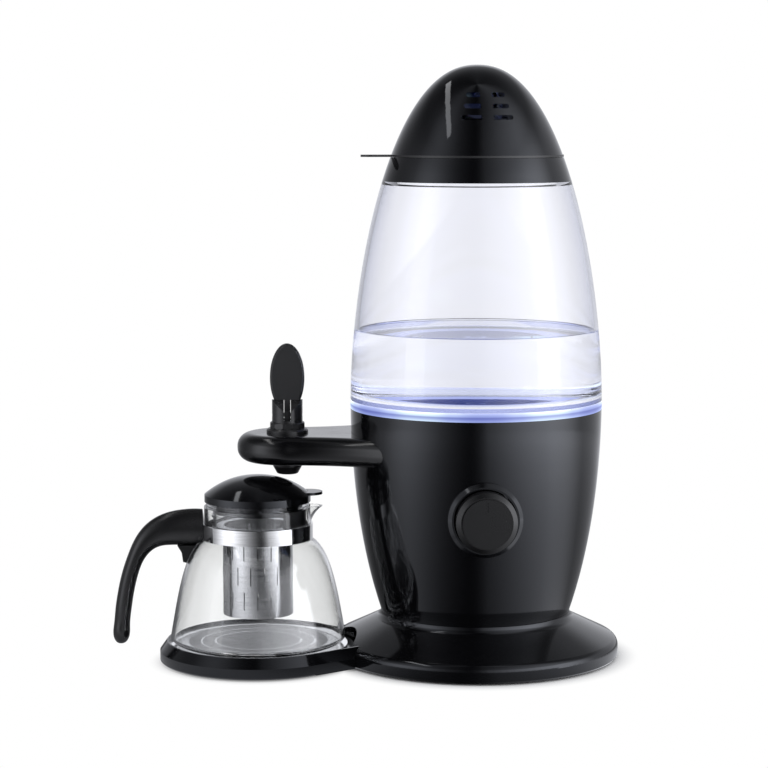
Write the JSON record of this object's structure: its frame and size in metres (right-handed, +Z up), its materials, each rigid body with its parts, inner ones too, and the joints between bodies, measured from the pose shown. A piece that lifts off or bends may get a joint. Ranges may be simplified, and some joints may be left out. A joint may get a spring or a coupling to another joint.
{
  "type": "automatic tea maker",
  "caption": "Bullet-shaped hot water dispenser with a clear lit tank, a lever tap on a side arm and a glass teapot on a joined tray.",
  "frame": {"origin": "on the surface that the machine stands on, below the axis of the tower", "axes": "+Z up, the control knob faces -Y, the arm, tray and teapot lie towards -X"},
  "size_m": [0.3652, 0.2099, 0.426],
  "materials": {
    "black_gloss": "smooth glossy black moulding",
    "black_satin": "satin black moulding",
    "clear_tank": "clear polycarbonate, smooth",
    "clear_glass": "clear borosilicate glass",
    "clear_grey": "translucent grey plastic, smooth",
    "light_band": "frosted diffuser lit violet-blue",
    "polished_steel": "polished stainless steel",
    "brushed_steel": "brushed stainless steel",
    "cast_aluminium": "as cast",
    "tap_brass": "machined",
    "screw_steel": "zinc plated",
    "black_rubber": "matt rubber",
    "silicone": "translucent silicone",
    "board_green": "solder mask"
  },
  "bodies": {
    "machine": {"base_plinth": "black_gloss", "base_bottom_plate": "black_satin", "base_foot_ring": "black_rubber", "base_screws": "screw_steel", "cord_gland": "black_rubber", "control_board": "board_green", "pot_tray": "black_gloss", "tray_plate": "brushed_steel", "tray_feet": "black_rubber", "tray_screws": "screw_steel", "lower_housing": "black_gloss", "housing_screws": "screw_steel", "support_deck": "black_satin", "deck_screws": "screw_steel", "heater_plate": "brushed_steel", "heater_casting": "cast_aluminium", "thermostat": "polished_steel", "tank_seal": "silicone", "led_board": "board_green", "light_ring": "light_band", "tank": "clear_tank", "collar": "black_gloss", "knob_bezel": "black_gloss", "selector_switch": "black_satin", "switch_nut": "screw_steel", "arm_upper": "black_satin", "arm_lower": "black_satin", "arm_screws": "screw_steel", "water_pipe": "silicone", "tap_body": "tap_brass", "tap_flange": "black_satin", "ring_nut": "black_satin", "tap_collar": "black_satin", "nozzle": "black_satin", "valve_spring": "polished_steel"},
    "lid": {"dome_lid": "black_gloss", "lid_plate": "black_satin", "lid_seal": "silicone"},
    "knob": {"knob": "black_satin", "knob_shaft": "polished_steel"},
    "lever": {"lever_paddle": "black_satin", "lever_pin": "polished_steel"},
    "valve": {"valve_stem": "polished_steel", "valve_washer": "silicone"},
    "pot": {"pot_glass": "clear_glass", "neck_band": "polished_steel", "pot_handle": "black_satin", "handle_screw": "polished_steel", "infuser": "brushed_steel", "infuser_holder": "clear_grey", "holder_clip": "black_satin"},
    "pot_lid": {"pot_lid": "black_gloss"}
  },
  "joints": [
    {"name": "lid_lift", "type": "slide", "parent": "machine", "child": "lid", "axis": [0, 0, 1], "range_m": [0, 0.09]},
    {"name": "knob_turn", "type": "hinge", "parent": "machine", "child": "knob", "pos_m": [0, -0.1, 0.113], "axis": [0, -1, 0], "range_deg": [-135, 135]},
    {"name": "lever_tilt", "type": "hinge", "parent": "machine", "child": "lever", "pos_m": [-0.136, 0, 0.176], "axis": [1, 0, 0], "range_deg": [0, 25], "stiffness_Nm_per_rad": 0.1, "springref_deg": -5.73},
    {"name": "valve_press", "type": "slide", "parent": "machine", "child": "valve", "axis": [0, 0, 1], "range_m": [-0.0022, 0], "deforming": ["valve_spring"]},
    {"name": "pot_withdraw", "type": "slide", "parent": "machine", "child": "pot", "axis": [0, -0.9511, 0.309], "range_m": [0, 0.16]},
    {"name": "pot_lid_turn", "type": "hinge", "parent": "pot", "child": "pot_lid", "pos_m": [-0.1575, -0.016, 0.116], "axis": [0, 0, 1], "range_deg": [-90, 90]}
  ],
  "couplings": [
    {"joint": "valve_press", "follows": "lever_tilt", "m_per_rad": -0.005}
  ]
}
